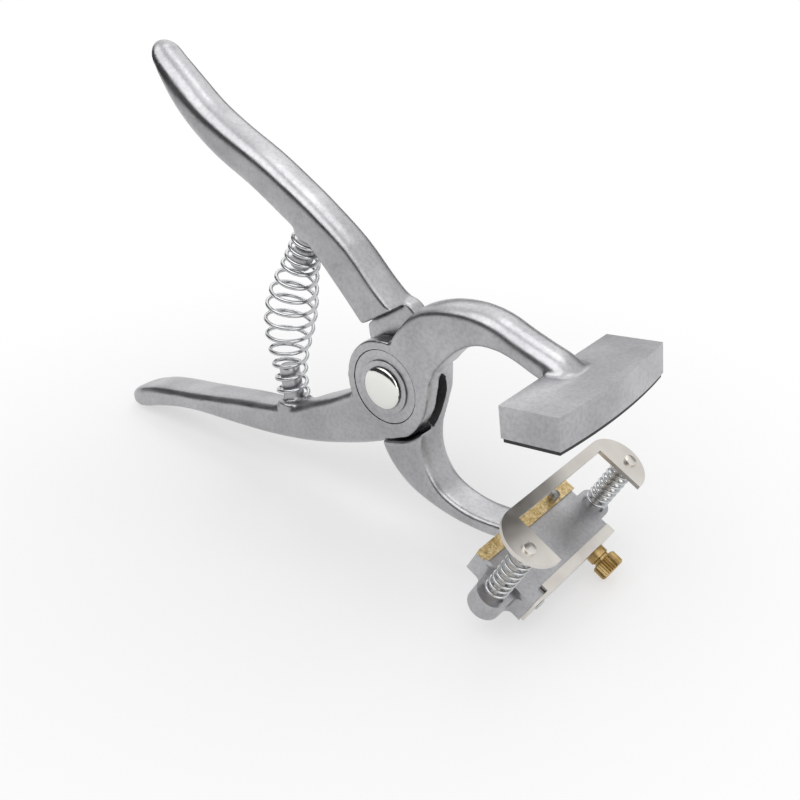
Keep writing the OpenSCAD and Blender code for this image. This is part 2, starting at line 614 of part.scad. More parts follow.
// The gate: an angle strip along the block's outer side that swings up about a rivet
gate_top = floor_z + flange_rise;
gate_low = floor_z - gate_drop;
gate_far = block_len / 2 - gate_far_in;
gate_near = -block_len / 2 - gate_near_out;
flange_y = hinge_y - hinge_drop - flange_play;
slot_r = screw_r + slot_play;
module gate() color(nickel) holder_frame() difference() {
    union() {
        translate([gate_x, gate_near, gate_low]) cube([gate_t, gate_far - gate_near, gate_top - gate_low]);
        translate([gate_x + gate_t - flange_w, -flange_y, gate_top - gate_t])
            cube([flange_w, flange_y + gate_far, gate_t]);
    }
    translate([0, screw_y, screw_z]) rod_x(slot_r, gate_x - 1, gate_x + gate_t + 1);
    translate([gate_x - 1, screw_y - slot_r, gate_low - 1]) cube([gate_t + 2, 2 * slot_r, screw_z - gate_low + 1]);
    translate([0, -hinge_y, hinge_z]) rod_x(hinge_r + hinge_clear, gate_x - 1, gate_x + gate_t + 1);
}
module gate_rivet() color(steel) holder_frame() translate([0, -hinge_y, hinge_z]) {
    rod_x(hinge_r, block_x + block_w - hinge_grip, collar_x + eps);
    translate([collar_x, 0, 0]) rotate([0, 90, 0]) rotate_extrude() polygon([[0, 0], [hinge_head_r, 0],
        [0.8 * hinge_head_r, 0.8 * hinge_head_h], [0, hinge_head_h]]);
}

module thumb_screw() color(brass) holder_frame() translate([0, screw_y, screw_z]) {
    rod_x(screw_r, block_x + block_w - screw_grip, collar_x + eps);
    rod_x(collar_r, collar_x, knob_x + eps);
    translate([knob_x, 0, 0]) rotate([0, 90, 0]) linear_extrude(knob_len)
        polygon([for (k = [0 : 2 * knurls - 1]) (knob_r - (k % 2) * knurl_depth)
            * [cos(180 * k / knurls), sin(180 * k / knurls)]]);
}

holder_lever();
anvil_lever();
anvil_pad();
pivot_rivet();
washer_near();
washer_far();
handle_spring();
backing_bar();
bar_pin();
bar_rivets();
release_plate();
guide_pin_near();
guide_pin_far();
plate_spring_near();
plate_spring_far();
pin_clip_near();
pin_clip_far();
gate();
gate_rivet();
thumb_screw();
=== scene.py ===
import json
import math

import bpy
from mathutils import Matrix, Vector


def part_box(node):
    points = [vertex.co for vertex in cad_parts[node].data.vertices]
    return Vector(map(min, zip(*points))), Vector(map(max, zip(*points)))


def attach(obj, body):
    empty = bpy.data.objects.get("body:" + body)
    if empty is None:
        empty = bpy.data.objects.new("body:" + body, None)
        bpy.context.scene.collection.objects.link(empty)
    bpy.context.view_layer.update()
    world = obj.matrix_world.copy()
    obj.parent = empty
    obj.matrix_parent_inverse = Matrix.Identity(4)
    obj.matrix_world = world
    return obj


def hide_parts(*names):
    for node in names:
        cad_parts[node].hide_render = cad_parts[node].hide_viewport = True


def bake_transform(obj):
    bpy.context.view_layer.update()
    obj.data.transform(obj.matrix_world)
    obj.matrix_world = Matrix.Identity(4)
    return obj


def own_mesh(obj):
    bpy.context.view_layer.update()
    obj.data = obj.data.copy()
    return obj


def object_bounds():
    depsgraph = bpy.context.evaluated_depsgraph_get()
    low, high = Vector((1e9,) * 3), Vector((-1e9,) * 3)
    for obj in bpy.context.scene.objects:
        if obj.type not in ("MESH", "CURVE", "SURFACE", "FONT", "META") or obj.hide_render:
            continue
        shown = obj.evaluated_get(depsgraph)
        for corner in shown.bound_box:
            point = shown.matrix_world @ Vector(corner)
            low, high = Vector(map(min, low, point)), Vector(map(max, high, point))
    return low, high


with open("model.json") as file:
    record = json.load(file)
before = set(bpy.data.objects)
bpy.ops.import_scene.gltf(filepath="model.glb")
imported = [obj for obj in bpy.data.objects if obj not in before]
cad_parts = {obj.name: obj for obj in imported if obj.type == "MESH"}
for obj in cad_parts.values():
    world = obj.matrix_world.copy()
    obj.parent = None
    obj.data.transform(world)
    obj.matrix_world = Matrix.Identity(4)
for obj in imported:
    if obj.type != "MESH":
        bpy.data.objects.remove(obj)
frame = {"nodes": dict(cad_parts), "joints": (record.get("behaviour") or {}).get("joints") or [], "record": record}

cad_low, cad_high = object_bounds()

# The holder lever: one aluminium die-casting, with the upper handle, the far half of the lap
# at the rivet, the lower arched jaw and the block for the digits. It comes satin grey from
# tumbling, with soft cast edges, and only the flat round the rivet is machined.
MM = 0.001
joints = {joint["name"]: joint for joint in frame["joints"]}
mounts = {mount["name"]: mount for mount in frame["record"]["mounts"]}
rivet_centre = Vector(joints["jaw_close"]["pos_m"])


def lever_frame(x_axis, z_axis):
    """A lever's own frame: the rivet is its origin, and x runs along its jaw."""
    turn = Matrix((x_axis, (0, 1, 0), z_axis)).transposed().to_4x4()
    return Matrix.Translation(rivet_centre) @ turn


holder_x = Vector(joints["gate_swing"]["axis"])
holder_z = -Vector(joints["release_slide"]["axis"])
holder_frame = lever_frame(holder_x, holder_z)


def in_holder(x, y, z):
    """A point of the holder lever, from millimetres, in the row's frame."""
    return holder_frame @ Vector((x * MM, y * MM, z * MM))


def only(piece):
    """Nothing else is selected, and this piece is the active one."""
    bpy.ops.object.select_all(action="DESELECT")
    piece.select_set(True)
    bpy.context.view_layer.objects.active = piece


def apply_all(piece):
    only(piece)
    for modifier in list(piece.modifiers):
        bpy.ops.object.modifier_apply(modifier=modifier.name)


def cast_copy(node, name):
    """A solid's shape as one welded shell, ready for its casting's or its tool's finish."""
    piece = bpy.data.objects.new(name, frame["nodes"][node].data.copy())
    bpy.context.scene.collection.objects.link(piece)
    piece.data.materials.clear()
    only(piece)
    if piece.data.has_custom_normals:
        bpy.ops.mesh.customdata_custom_splitnormals_clear()
    bpy.ops.object.mode_set(mode="EDIT")
    bpy.ops.mesh.select_all(action="SELECT")
    bpy.ops.mesh.remove_doubles(threshold=0.002 * MM)
    bpy.ops.mesh.dissolve_limited(angle_limit=math.radians(0.5))
    bpy.ops.object.mode_set(mode="OBJECT")
    return piece


def join_or_cut(piece, operation, other):
    """A boolean with another piece, which is used up."""
    step = piece.modifiers.new("Step", "BOOLEAN")
    step.operation = operation
    step.solver = "EXACT"
    step.object = other
    apply_all(piece)
    bpy.data.objects.remove(other)


def soften_casting(piece):
    """Remeshes the casting finely and tumbles it: its edges rub round, its corners fill a little."""
    remesh = piece.modifiers.new("Skin", "REMESH")
    remesh.mode = "VOXEL"
    remesh.voxel_size = 0.5 * MM
    tumble = piece.modifiers.new("Tumble", "SMOOTH")
    tumble.factor = 0.5
    tumble.iterations = 26
    rub = piece.modifiers.new("Rub", "DISPLACE")
    rub.mid_level = 0
    rub.strength = -0.04 * MM
    apply_all(piece)


def box_of(frame_matrix, low, high):
    """A plain box in a lever's own frame, to cut with."""
    bpy.ops.object.select_all(action="DESELECT")
    bpy.ops.mesh.primitive_cube_add(size=1)
    box = bpy.context.object
    low, high = Vector(low) * MM, Vector(high) * MM
    box.data.transform(frame_matrix @ Matrix.Translation((low + high) / 2)
                       @ Matrix.Diagonal((*(high - low), 1)))
    return box


def square_part(node, frame_matrix, low, high, width):
    """The part of a casting that keeps its square edges, with only a fine bevel on them."""
    part = cast_copy(node, node + "_square")
    join_or_cut(part, "INTERSECT", box_of(frame_matrix, low, high))
    ease_edges(part, width, 2)
    return part


def cut_round_flat(piece, frame_matrix, radius, y_from, y_to):
    """Machines a shallow round flat about the rivet's axis."""
    bpy.ops.object.select_all(action="DESELECT")
    middle = frame_matrix.translation + Vector((0, (y_from + y_to) / 2 * MM, 0))
    bpy.ops.mesh.primitive_cylinder_add(
        vertices=128, radius=radius * MM, depth=(y_to - y_from) * MM, location=middle,
        rotation=(math.radians(90), 0, 0))
    join_or_cut(piece, "DIFFERENCE", bpy.context.object)


def smooth_by_angle(piece, degrees):
    """Shades the piece smooth up to an angle, and keeps its large flats flat."""
    only(piece)
    bpy.ops.object.shade_smooth_by_angle(angle=math.radians(degrees))
    flats = piece.modifiers.new("Flats", "WEIGHTED_NORMAL")
    flats.keep_sharp = True
    flats.weight = 90
    apply_all(piece)


def ease_edges(piece, width, segments=3, angle=30):
    """Rounds the piece's sharp edges, as a barrel or a file does."""
    bevel = piece.modifiers.new("Ease", "BEVEL")
    bevel.width = width * MM
    bevel.segments = segments
    bevel.limit_method = "ANGLE"
    bevel.angle_limit = math.radians(angle)
    bevel.use_clamp_overlap = True
    apply_all(piece)
    smooth_by_angle(piece, angle)


def dress(piece, material, slot, body, *nodes):
    """Gives a piece its finish and sets it on its body in place of its solids."""
    if len(piece.data.materials) == 0:
        piece.data.materials.append(material)
    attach(piece, body)
    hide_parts(*nodes)


def new_material(name, colour, metallic, roughness):
    material = bpy.data.materials.new(name)
    material.use_nodes = True
    shader = material.node_tree.nodes["Principled BSDF"]
    shader.inputs["Base Color"].default_value = (*colour, 1)
    shader.inputs["Metallic"].default_value = metallic
    shader.inputs["Roughness"].default_value = roughness
    return material, material.node_tree, shader


def noise(tree, scale, detail=3.0, rough=0.55):
    """A noise over the piece's own place, with its scale in marks a metre."""
    place = tree.nodes.new("ShaderNodeTexCoord")
    marks = tree.nodes.new("ShaderNodeTexNoise")
    marks.inputs["Scale"].default_value = scale
    marks.inputs["Detail"].default_value = detail
    marks.inputs["Roughness"].default_value = rough
    tree.links.new(place.outputs["Object"], marks.inputs["Vector"])
    return marks.outputs["Fac"]


def ramp(tree, source, stops):
    """Colours or greys along a value: each stop is a place and a colour."""
    band = tree.nodes.new("ShaderNodeValToRGB")
    band.color_ramp.elements[0].position = stops[0][0]
    band.color_ramp.elements[0].color = (*stops[0][1], 1)
    band.color_ramp.elements[1].position = stops[-1][0]
    band.color_ramp.elements[1].color = (*stops[-1][1], 1)
    for position, colour in stops[1:-1]:
        band.color_ramp.elements.new(position).color = (*colour, 1)
    tree.links.new(source, band.inputs["Fac"])
    return band.outputs["Color"]


def multiply(tree, first, second, share=1.0):
    mix = tree.nodes.new("ShaderNodeMix")
    mix.data_type = "RGBA"
    mix.blend_type = "MULTIPLY"
    mix.inputs["Factor"].default_value = share
    tree.links.new(first, mix.inputs["A"])
    tree.links.new(second, mix.inputs["B"])
    return mix.outputs["Result"]


def bump(tree, shader, heights):
    """Lays several height maps on each other: each is a source, a strength and a height."""
    normal = None
    for source, strength, height in heights:
        node = tree.nodes.new("ShaderNodeBump")
        node.inputs["Strength"].default_value = strength
        node.inputs["Distance"].default_value = height
        tree.links.new(source, node.inputs["Height"])
        if normal:
            tree.links.new(normal, node.inputs["Normal"])
        normal = node.outputs["Normal"]
    tree.links.new(normal, shader.inputs["Normal"])


def grey(value):
    return (value, value, value)


cast_metal, tree, shader = new_material("tumbled_aluminium", (0.42, 0.42, 0.43), 1.0, 0.32)
clouds = ramp(tree, noise(tree, 40, 5), [(0.3, (0.38, 0.38, 0.395)), (0.7, (0.55, 0.55, 0.565))])
grain = ramp(tree, noise(tree, 900, 1), [(0.3, grey(0.86)), (0.62, grey(1.0))])
# Hollows, creases and inner corners, where the pointiness is low, are darkened in the base colour: painted shade
edges = tree.nodes.new("ShaderNodeNewGeometry").outputs["Pointiness"]
painted_crease_shade = ramp(tree, edges, [(0.40, grey(0.45)), (0.492, grey(0.92)), (0.51, grey(0.97)),
                          (0.57, grey(1.0))])
tree.links.new(multiply(tree, multiply(tree, clouds, grain), painted_crease_shade), shader.inputs["Base Color"])
tree.links.new(ramp(tree, noise(tree, 120, 2), [(0.3, grey(0.29)), (0.7, grey(0.36))]),
               shader.inputs["Roughness"])
bump(tree, shader, [(noise(tree, 150, 2), 0.08, 0.05 * MM)])


def darken_inside(piece, reach):
    """Gives the faces whose middle is within reach of a hollow a near-black painted shade."""
    if len(piece.data.materials) == 0:
        piece.data.materials.append(cast_metal)
        piece.data.materials.append(painted_recess_shade)
    for face in piece.data.polygons:
        if reach(face.center):
            face.material_index = 1


def scribe_ring(piece, radius, y):
    """Turns a fine groove round the rivet, and paints its faces near-black as shade."""
    bpy.ops.object.select_all(action="DESELECT")
    middle = rivet_centre + Vector((0, y * MM, 0))
    bpy.ops.mesh.primitive_torus_add(major_segments=160, minor_segments=10, major_radius=radius * MM,
                                     minor_radius=0.19 * MM, location=middle, rotation=(math.radians(90), 0, 0))
    ring = bpy.context.object
    bpy.ops.object.transform_apply(location=True, rotation=True, scale=True)
    join_or_cut(piece, "DIFFERENCE", ring)
    darken_inside(piece, lambda place: math.hypot(
        math.hypot(place.x - middle.x, place.z - middle.z) - radius * MM, place.y - middle.y) < 0.21 * MM)


# A near-black material that paints the shade in the lap's hollow, in the grooves round the rivet and under the
# rivet's heads
painted_recess_shade, tree, shader = new_material("painted_recess_shade", (0.02, 0.02, 0.022), 0.0, 0.7)
tree.links.new(ramp(tree, noise(tree, 900, 3), [(0.3, grey(0.014)), (0.7, grey(0.035))]),
               shader.inputs["Base Color"])

holder_lever = cast_copy("holder_lever", "holder_casting")
# The lap's face is closed again along the throat, and dished there once the casting is soft
skin_low, skin_high, skin_shift = (8, 2.9, -4.2), (24, 5.8, 15.7), -2.8
lap_skin = cast_copy("holder_lever", "lap_skin")
join_or_cut(lap_skin, "INTERSECT", box_of(holder_frame, skin_low, skin_high))
lap_skin.data.transform(Matrix.Translation((0, skin_shift * MM, 0)))
join_or_cut(holder_lever, "UNION", lap_skin)
soften_casting(holder_lever)
block_from, block_foot, block_top = 57.6, -12.55, -3.8
join_or_cut(holder_lever, "DIFFERENCE",
            box_of(holder_frame, (block_from + 2, -50, block_foot - 5), (block_from + 50, 50, block_top + 5)))
join_or_cut(holder_lever, "UNION",
            square_part("holder_lever", holder_frame, (block_from - 0.3, -50, block_foot - 5),
                        (block_from + 50, 50, block_top + 5), 0.35))
bpy.ops.object.select_all(action="DESELECT")
bpy.ops.mesh.primitive_uv_sphere_add(segments=64, ring_count=32, radius=1)
dish = bpy.context.object
dish_middle, dish_lean, dish_wide, dish_deep, dish_long = Vector((16.3, 0.0, 6.2)), -12, 6.5, 2.8, 10.0
dish_place = (holder_frame @ Matrix.Translation(dish_middle * MM)
              @ Matrix.Rotation(math.radians(dish_lean), 4, "Y")
              @ Matrix.Diagonal((dish_wide * MM, dish_deep * MM, dish_long * MM, 1)))
dish.data.transform(dish_place)
join_or_cut(holder_lever, "DIFFERENCE", dish)
to_dish = dish_place.inverted()
# The faces inside the dish are painted near-black: painted shade in the hollow of the lap
darken_inside(holder_lever, lambda place: (to_dish @ place).length < 1.02)
flat_y, flat_radius = 6.22, 12.5
cut_round_flat(holder_lever, holder_frame, flat_radius, flat_y, flat_y + 2)
scribe_ring(holder_lever, flat_radius, flat_y)
smooth_by_angle(holder_lever, 38)
dress(holder_lever, cast_metal, "cast_metal", "holder", "holder_lever")

# The anvil lever: the second casting, with the lower handle, the near half of the lap, the
# upper arched jaw and the flat anvil. The anvil is milled under its pad, and its edges are
# the squarest of the casting.
anvil_z = -Vector(mounts["pad_face"]["axis"])
anvil_frame = lever_frame(Vector((anvil_z.z, 0, -anvil_z.x)), anvil_z)


def in_anvil(x, y, z):
    """A point of the anvil lever, from millimetres, in the row's frame."""
    return anvil_frame @ Vector((x * MM, y * MM, z * MM))


anvil_from, anvil_low, anvil_top = 59.4, 4.9, 14.2
anvil_lever = cast_copy("anvil_lever", "anvil_casting")
soften_casting(anvil_lever)
join_or_cut(anvil_lever, "UNION",
            square_part("anvil_lever", anvil_frame, (anvil_from - 0.3, -50, anvil_low - 5),
                        (anvil_from + 50, 50, anvil_top + 0.02), 0.3))
cut_round_flat(anvil_lever, anvil_frame, flat_radius, -flat_y - 2, -flat_y)
scribe_ring(anvil_lever, flat_radius, -flat_y)
smooth_by_angle(anvil_lever, 38)
dress(anvil_lever, cast_metal, "cast_metal", "anvil_arm", "anvil_lever")

# The pad: a thin sheet of black rubber, die-cut a little smaller than the anvil and glued
# under it, so the points of the digits go through the ear without blunting.
rubber, tree, shader = new_material("pad_rubber", (0.018, 0.018, 0.02), 0.0, 0.6)
tree.links.new(ramp(tree, noise(tree, 500, 3), [(0.35, (0.012, 0.012, 0.014)), (0.7, (0.03, 0.03, 0.033))]),
               shader.inputs["Base Color"])
bump(tree, shader, [(noise(tree, 2200, 2), 0.4, 0.04 * MM)])
pad = cast_copy("anvil_pad", "pad_sheet")
ease_edges(pad, 0.2)
dress(pad, rubber, "pad_rubber", "anvil_arm", "anvil_pad")

# The rivet and its washers: a steel rivet with two low polished heads. The thin washers lie in
# the round flats of the castings, and the rivet's shank is fixed in the holder lever.
polished, tree, shader = new_material("polished_rivet", (0.80, 0.80, 0.77), 1.0, 0.12)
tree.links.new(ramp(tree, noise(tree, 700, 3), [(0.35, grey(0.07)), (0.7, grey(0.17))]),
               shader.inputs["Roughness"])
bump(tree, shader, [(noise(tree, 180, 2), 0.12, 0.05 * MM)])


def turned(name, profile, start, axis, sides=96):
    """Spins a profile of radii and heights about an axis, as on a lathe."""
    mesh = bpy.data.meshes.new(name)
    corners = [(r * MM, 0, h * MM) for r, h in profile]
    mesh.from_pydata(corners, [(i, i + 1) for i in range(len(corners) - 1)], [])
    piece = bpy.data.objects.new(name, mesh)
    bpy.context.scene.collection.objects.link(piece)
    only(piece)
    bpy.ops.object.mode_set(mode="EDIT")
    bpy.ops.mesh.select_all(action="SELECT")
    bpy.ops.mesh.spin(steps=sides, angle=math.tau, center=(0, 0, 0), axis=(0, 0, 1))
    bpy.ops.mesh.select_all(action="SELECT")
    bpy.ops.mesh.remove_doubles(threshold=0.002 * MM)
    bpy.ops.mesh.normals_make_consistent(inside=False)
    bpy.ops.object.mode_set(mode="OBJECT")
    piece.data.transform(Matrix.Translation(start) @ axis.to_track_quat("Z", "X").to_matrix().to_4x4())
    return piece


near_low, near_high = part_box("washer_near")
far_low, far_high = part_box("washer_far")
across = Vector((0, 1, 0))
shank = (far_high.y - near_low.y) / MM
head = [(0, 2.0), (2.0, 1.95), (3.6, 1.84), (5.0, 1.64), (6.1, 1.34), (6.75, 1.02), (7.05, 0.72),
        (7.1, 0.5), (6.9, 0.36), (6.2, 0.3), (6.1, 0.0)]
rivet_profile = ([(r, -h) for r, h in head] + [(4, 0), (4, shank)]
                 + [(r, shank + h) for r, h in reversed(head)])
rivet_seat = Vector((rivet_centre.x, near_low.y, rivet_centre.z))
rivet = turned("pivot_rivet_heads", rivet_profile, rivet_seat, across)
rivet.data.materials.append(polished)
rivet.data.materials.append(painted_recess_shade)
# The rivet's neck and shank under the rims of its heads are painted near-black: painted shade under the heads
neck_radius, neck_height = 6.6, 0.35
for face in rivet.data.polygons:
    aside = math.hypot(face.center.x - rivet_centre.x, face.center.z - rivet_centre.z)
    along = near_low.y - neck_height * MM < face.center.y < far_high.y + neck_height * MM
    if aside < neck_radius * MM and along:
        face.material_index = 1
smooth_by_angle(rivet, 45)
dress(rivet, polished, "polished_steel", "holder", "pivot_rivet")
for node, name in (("washer_near", "near_washer"), ("washer_far", "far_washer")):
    washer = cast_copy(node, name)
    ease_edges(washer, 0.15)
    dress(washer, cast_metal, "cast_metal", "holder", node)

# The handle spring: bright zinc wire wound to a barrel, closer at its ends. It slips over the
# spigots of the two handles and bows between them, because the handles lean apart.
zinc, tree, shader = new_material("bright_zinc", (0.52, 0.53, 0.54), 1.0, 0.18)
tree.links.new(ramp(tree, noise(tree, 500, 3), [(0.3, grey(0.12)), (0.7, grey(0.24))]),
               shader.inputs["Roughness"])
bump(tree, shader, [(noise(tree, 900, 2), 0.10, 0.02 * MM)])


def wound(name, path, wire):
    """Wire along a path of points in the row's frame, as a closed tube."""
    line = bpy.data.curves.new(name, "CURVE")
    line.dimensions = "3D"
    line.bevel_depth = wire / 2 * MM
    line.bevel_resolution = 4
    line.use_fill_caps = True
    spline = line.splines.new("POLY")
    spline.points.add(len(path) - 1)
    for point, place in zip(spline.points, path):
        point.co = (*place, 1)
    piece = bpy.data.objects.new(name, line)
    bpy.context.scene.collection.objects.link(piece)
    only(piece)
    bpy.ops.object.convert(target="MESH")
    piece = bpy.context.object
    smooth_by_angle(piece, 50)
    return piece


spring_low = in_anvil(-50.5, 0, -15.21)
spring_high = in_holder(-50, 0, 19.25)
lower_way = anvil_frame.to_3x3() @ Vector((0, 0, 1))
upper_way = holder_frame.to_3x3() @ Vector((0, 0, 1))
pull = 24 * MM
ends = [spring_low, spring_low + pull * lower_way, spring_high - pull * upper_way, spring_high]
end_wide, middle_wide, handle_wire, handle_turns = 11.9, 18.4, 1.4, 13
climb = [(0, 0), (0.1, 0.08), (0.25, 0.24), (0.5, 0.55), (0.75, 0.83), (1, 1)]


def bow(t):
    u = 1 - t
    return u**3 * ends[0] + 3 * u * u * t * ends[1] + 3 * u * t * t * ends[2] + t**3 * ends[3]


def climbed(share):
    """How far up the spring a share of its turns reaches."""
    for (turn_a, rise_a), (turn_b, rise_b) in zip(climb, climb[1:]):
        if share <= turn_b:
            return rise_a + (rise_b - rise_a) * (share - turn_a) / (turn_b - turn_a)
    return 1.0


def handle_wire_path(steps_a_turn=28):
    end_share = handle_wire / 2 * MM / (spring_high - spring_low).length
    path = []
    total = handle_turns * steps_a_turn
    for i in range(total + 1):
        t = end_share + (1 - 2 * end_share) * climbed(i / total)
        swell = math.sin(math.pi * (t - 0.08) / 0.87) ** 2 if 0.08 < t < 0.95 else 0
        radius = (end_wide + (middle_wide - end_wide) * swell - handle_wire) / 2 * MM
        way = (bow(min(t + 0.01, 1)) - bow(max(t - 0.01, 0))).normalized()
        out = Vector((way.z, 0, -way.x))
        angle = math.tau * i / steps_a_turn
        path.append(bow(t) + radius * (math.cos(angle) * out + math.sin(angle) * across))
    return path


handle_spring = wound("barrel_spring", handle_wire_path(), handle_wire)
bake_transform(handle_spring)
handle_spring.data.materials.append(zinc)
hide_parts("handle_spring")

# The backing bar: a strip of sawn brass let into the inner side of the block, with a shallow
# undercut that holds the feet of the digits. Two blind rivets hold it, and a short steel pin
# stops the first digit.
brass, tree, shader = new_material("sawn_brass", (0.60, 0.46, 0.24), 1.0, 0.48)
patches = ramp(tree, noise(tree, 500, 5, 0.7), [(0.32, (0.38, 0.25, 0.09)), (0.45, (0.62, 0.46, 0.21)),
                                               (0.62, (0.84, 0.69, 0.42))])
specks = ramp(tree, noise(tree, 1900, 2), [(0.36, grey(0.68)), (0.55, grey(1.0))])
tree.links.new(multiply(tree, patches, specks), shader.inputs["Base Color"])
bump(tree, shader, [(noise(tree, 800, 4), 0.5, 0.10 * MM)])
bar = cast_copy("backing_bar", "brass_bar")
ease_edges(bar, 0.4, 2)
dress(bar, brass, "brass", "holder", "backing_bar")

bar_pin_x, bar_pin_y, bar_top = 59.7, 12.8, -2.6
pin_profile = [(0, -2.2), (1.05, -2.2), (1.05, 0), (1.5, 0), (1.5, 2.55), (1.42, 2.82), (1.2, 2.95),
               (0, 3.0)]
stop_pin = turned("stop_pin", pin_profile, in_holder(bar_pin_x, bar_pin_y, bar_top), holder_z, 40)
smooth_by_angle(stop_pin, 40)
pin_steel, tree, shader = new_material("drawn_steel", (0.30, 0.29, 0.28), 1.0, 0.34)
tree.links.new(ramp(tree, noise(tree, 800, 3), [(0.3, (0.2, 0.195, 0.19)), (0.7, (0.4, 0.39, 0.38))]),
               shader.inputs["Base Color"])
dress(stop_pin, pin_steel, "bright_steel", "holder", "bar_pin")
for node in ("bar_rivets", "pin_clip_near", "pin_clip_far"):
    frame["nodes"][node].data.materials.clear()
    frame["nodes"][node].data.materials.append(zinc)

# The release plate: nickel-plated sheet, blanked to a strip with a half-moon lobe at each end.
# Its blanked edges are barrelled round. It rides down on two headed pins and pushes the ear
# off the digits.
nickel, tree, shader = new_material("nickel_plate", (0.66, 0.63, 0.59), 1.0, 0.3)
film = ramp(tree, noise(tree, 60, 3), [(0.3, (0.60, 0.565, 0.52)), (0.7, (0.74, 0.71, 0.67))])
tree.links.new(film, shader.inputs["Base Color"])
tree.links.new(ramp(tree, noise(tree, 250, 1), [(0.3, grey(0.29)), (0.7, grey(0.36))]),
               shader.inputs["Roughness"])
plate = cast_copy("release_plate", "release_plate_sheet")
ease_edges(plate, 0.3, 4)
dress(plate, nickel, "nickel_sheet", "release", "release_plate")

pin_x, pin_y, plate_top, pin_foot = 69, 28.25, 16.7, -11.05
pin_profile = [(0, pin_foot - plate_top), (1.1, pin_foot - plate_top), (1.25, pin_foot - plate_top + 0.2),
               (1.25, 0), (2.0, 0), (2.0, 0.62), (1.95, 0.78), (1.8, 0.88), (0, 0.9)]
for side, node in ((-1, "guide_pin_near"), (1, "guide_pin_far")):
    pin = turned(node + "_turned", pin_profile, in_holder(pin_x, side * pin_y, plate_top), holder_z, 48)
    smooth_by_angle(pin, 50)
    dress(pin, nickel, "nickel_sheet", "release", node)

# The plate springs: small straight springs of bright wire round the guide pins, from the
# bosses of the block to the lobes of the plate.
plate_wire, plate_wide, plate_turns, spring_foot, spring_head = 0.9, 7.5, 8, -5.15, 14.75


def plate_wire_path(side, steps_a_turn=28):
    path = []
    total = plate_turns * steps_a_turn
    radius = (plate_wide - plate_wire) / 2
    for i in range(total + 1):
        angle = math.tau * i / steps_a_turn
        path.append(in_holder(pin_x + radius * math.cos(angle), side * pin_y + radius * math.sin(angle),
                              spring_foot + (spring_head - spring_foot) * i / total))
    return path


for side, node in ((-1, "plate_spring_near"), (1, "plate_spring_far")):
    spring = wound(node + "_wire", plate_wire_path(side), plate_wire)
    dress(spring, zinc, "bright_steel", "holder", node)
    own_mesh(spring)

# The gate: a bent angle of nickel sheet along the outer side of the block, which shuts the
# channel. It swings up about the rivet at its near end and is slotted for the thumb screw.
gate = cast_copy("gate", "gate_angle")
ease_edges(gate, 0.18)
dress(gate, nickel, "nickel_sheet", "gate", "gate")
gate_rivet = cast_copy("gate_rivet", "gate_rivet_head")
ease_edges(gate_rivet, 0.12)
dress(gate_rivet, zinc, "bright_steel", "holder", "gate_rivet")

# The thumb screw: turned brass with a plain collar against the gate and a straight-knurled
# knob, chamfered at both ends. The grooves of the knurl are darkened in colour as painted shade.
screw_x, screw_y, screw_z = 83.5, 14.5, -8.2
screw_brass, tree, shader = new_material("turned_brass", (0.50, 0.34, 0.13), 1.0, 0.26)
tone = ramp(tree, noise(tree, 300, 3), [(0.3, (0.34, 0.22, 0.075)), (0.7, (0.58, 0.42, 0.20))])
# The knurl's grooves, where the pointiness is low, are darkened in the base colour: painted shade
painted_groove_shade = ramp(tree, tree.nodes.new("ShaderNodeNewGeometry").outputs["Pointiness"],
               [(0.42, grey(0.12)), (0.5, grey(0.8)), (0.58, grey(1.0))])
tree.links.new(multiply(tree, tone, painted_groove_shade), shader.inputs["Base Color"])
tree.links.new(ramp(tree, noise(tree, 900, 2), [(0.3, grey(0.29)), (0.7, grey(0.38))]),
               shader.inputs["Roughness"])
bump(tree, shader, [(noise(tree, 1300, 2), 0.15, 0.02 * MM)])
screw = cast_copy("thumb_screw", "thumb_screw_knurled")
envelope_profile = [(0, -16), (3.28, -16), (3.28, -1.15), (2.75, -0.85), (2.75, -0.2), (3.75, 0.0),
                    (4.4, 0.55), (4.4, 4.0), (3.7, 4.6), (0, 4.6)]
envelope = turned("chamfers", envelope_profile, in_holder(screw_x, screw_y, screw_z), holder_x, 96)
join_or_cut(screw, "INTERSECT", envelope)
ease_edges(screw, 0.07, 2, 25)
dress(screw, screw_brass, "brass", "screw", "thumb_screw")

# The bench and the light: a plain pale floor, a white surround and large soft lamps, as in a
# light tent. The camera stands where the photograph was taken from.
bpy.ops.object.select_all(action="DESELECT")
bpy.ops.mesh.primitive_plane_add(size=40, location=(0, 0, -0.0002))
floor = bpy.context.object
floor.name = "pale_floor"
paper, tree, shader = new_material("pale_paper", (0.92, 0.92, 0.92), 0.0, 0.9)
shader.inputs["Specular IOR Level"].default_value = 0.0
floor.data.materials.append(paper)


def seen_white(tree):
    """1 for the rays that show the white of the tent: camera, glossy and transmission rays."""
    rays = tree.nodes.new("ShaderNodeLightPath")
    total = rays.outputs["Is Camera Ray"]
    for kind in ("Is Glossy Ray", "Is Transmission Ray"):
        either = tree.nodes.new("ShaderNodeMath")
        either.operation = "MAXIMUM"
        tree.links.new(total, either.inputs[0])
        tree.links.new(rays.outputs[kind], either.inputs[1])
        total = either.outputs[0]
    return total


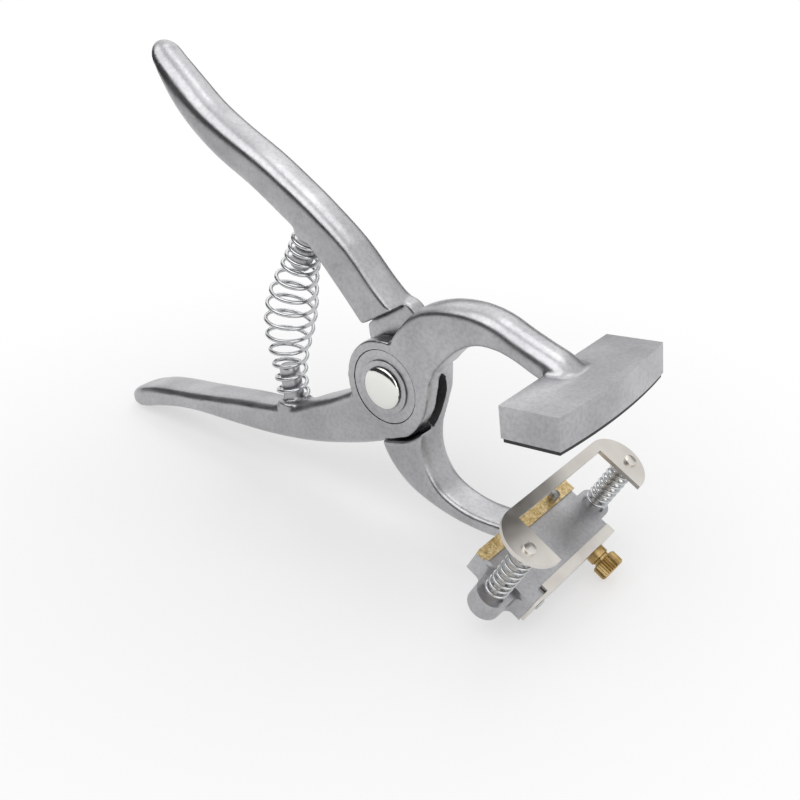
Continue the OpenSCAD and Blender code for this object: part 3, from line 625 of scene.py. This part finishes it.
# Away from the object the paper runs out into the white of the tent
spread = tree.nodes.new("ShaderNodeVectorMath")
spread.operation = "LENGTH"
tree.links.new(tree.nodes.new("ShaderNodeTexCoord").outputs["Object"], spread.inputs[0])
away = tree.nodes.new("ShaderNodeMapRange")
away.interpolation_type = "SMOOTHSTEP"
away.inputs["From Min"].default_value = 0.02
away.inputs["From Max"].default_value = 0.24
away.inputs["To Min"].default_value = 0.35
tree.links.new(spread.outputs["Value"], away.inputs["Value"])
white = tree.nodes.new("ShaderNodeEmission")
cover = tree.nodes.new("ShaderNodeMixShader")
share = tree.nodes.new("ShaderNodeMath")
share.operation = "MULTIPLY"
tree.links.new(seen_white(tree), share.inputs[0])
tree.links.new(away.outputs["Result"], share.inputs[1])
tree.links.new(share.outputs[0], cover.inputs["Fac"])
tree.links.new(shader.outputs["BSDF"], cover.inputs[1])
tree.links.new(white.outputs["Emission"], cover.inputs[2])
tree.links.new(cover.outputs["Shader"], tree.nodes["Material Output"].inputs["Surface"])

world = bpy.data.worlds.new("white_surround")
bpy.context.scene.world = world
world.use_nodes = True
tree = world.node_tree
surround = tree.nodes["Background"]
surround.inputs["Color"].default_value = (1, 1, 1, 1)
strength = tree.nodes.new("ShaderNodeMapRange")
strength.inputs["To Min"].default_value = 0.55
strength.inputs["To Max"].default_value = 1.0
tree.links.new(seen_white(tree), strength.inputs["Value"])
tree.links.new(strength.outputs["Result"], surround.inputs["Strength"])

middle = (cad_low + cad_high) / 2
for name, place, size, watts in (
        ("key", (-0.25, -0.9, 1.3), 1.7, 11),
        ("fill", (1.4, -0.6, 0.6), 1.0, 3),
        ("back", (-0.7, 1.2, 1.2), 1.5, 4),
        ("top", (0.12, 0.46, 1.4), 0.5, 1.7)):
    lamp = bpy.data.lights.new(name, "AREA")
    lamp.size = size
    lamp.energy = watts
    stand = bpy.data.objects.new(name, lamp)
    bpy.context.scene.collection.objects.link(stand)
    stand.location = place
    stand.rotation_euler = (middle - Vector(place)).to_track_quat("-Z", "Y").to_euler()

# Two dark cards stand beside the light tent, as photographers set them for bright metal
card_grey, tree, shader = new_material("dark_card", (0.03, 0.03, 0.032), 0.0, 0.9)
for name, turn_from, turn_to, far_off, card_foot, card_high in (
        ("left_card", 172, 310, 0.62, 0.06, 0.50),
        ("back_card", 60, 140, 0.75, 0.14, 0.36)):
    steps = 24
    corners = []
    for i in range(steps + 1):
        turn = math.radians(turn_from + (turn_to - turn_from) * i / steps)
        foot = Vector((middle.x + far_off * math.cos(turn), middle.y + far_off * math.sin(turn), 0))
        corners += [foot + Vector((0, 0, card_foot)), foot + Vector((0, 0, card_high))]
    mesh = bpy.data.meshes.new(name)
    mesh.from_pydata(corners, [], [(2 * i, 2 * i + 2, 2 * i + 3, 2 * i + 1) for i in range(steps)])
    card = bpy.data.objects.new(name, mesh)
    bpy.context.scene.collection.objects.link(card)
    mesh.materials.append(card_grey)
    card.visible_camera = False
    card.visible_diffuse = False

right, down = Vector((0.76219, 0.63734, -0.11341)), Vector((0.17396, -0.37040, -0.91243))
ahead = Vector((-0.62354, 0.67572, -0.39319))
lens = bpy.data.cameras.new("camera")
lens.lens = 42.59
lens.sensor_width = 36
lens.clip_start, lens.clip_end = 0.01, 20
camera = bpy.data.objects.new("camera", lens)
bpy.context.scene.collection.objects.link(camera)
camera.matrix_world = anvil_frame @ Matrix.Translation(Vector((189.63, -205.29, 112.49)) * MM) @ Matrix(
    (right, -down, -ahead)).transposed().to_4x4()
bpy.context.scene.camera = camera
bpy.context.scene.view_settings.view_transform = "Standard"
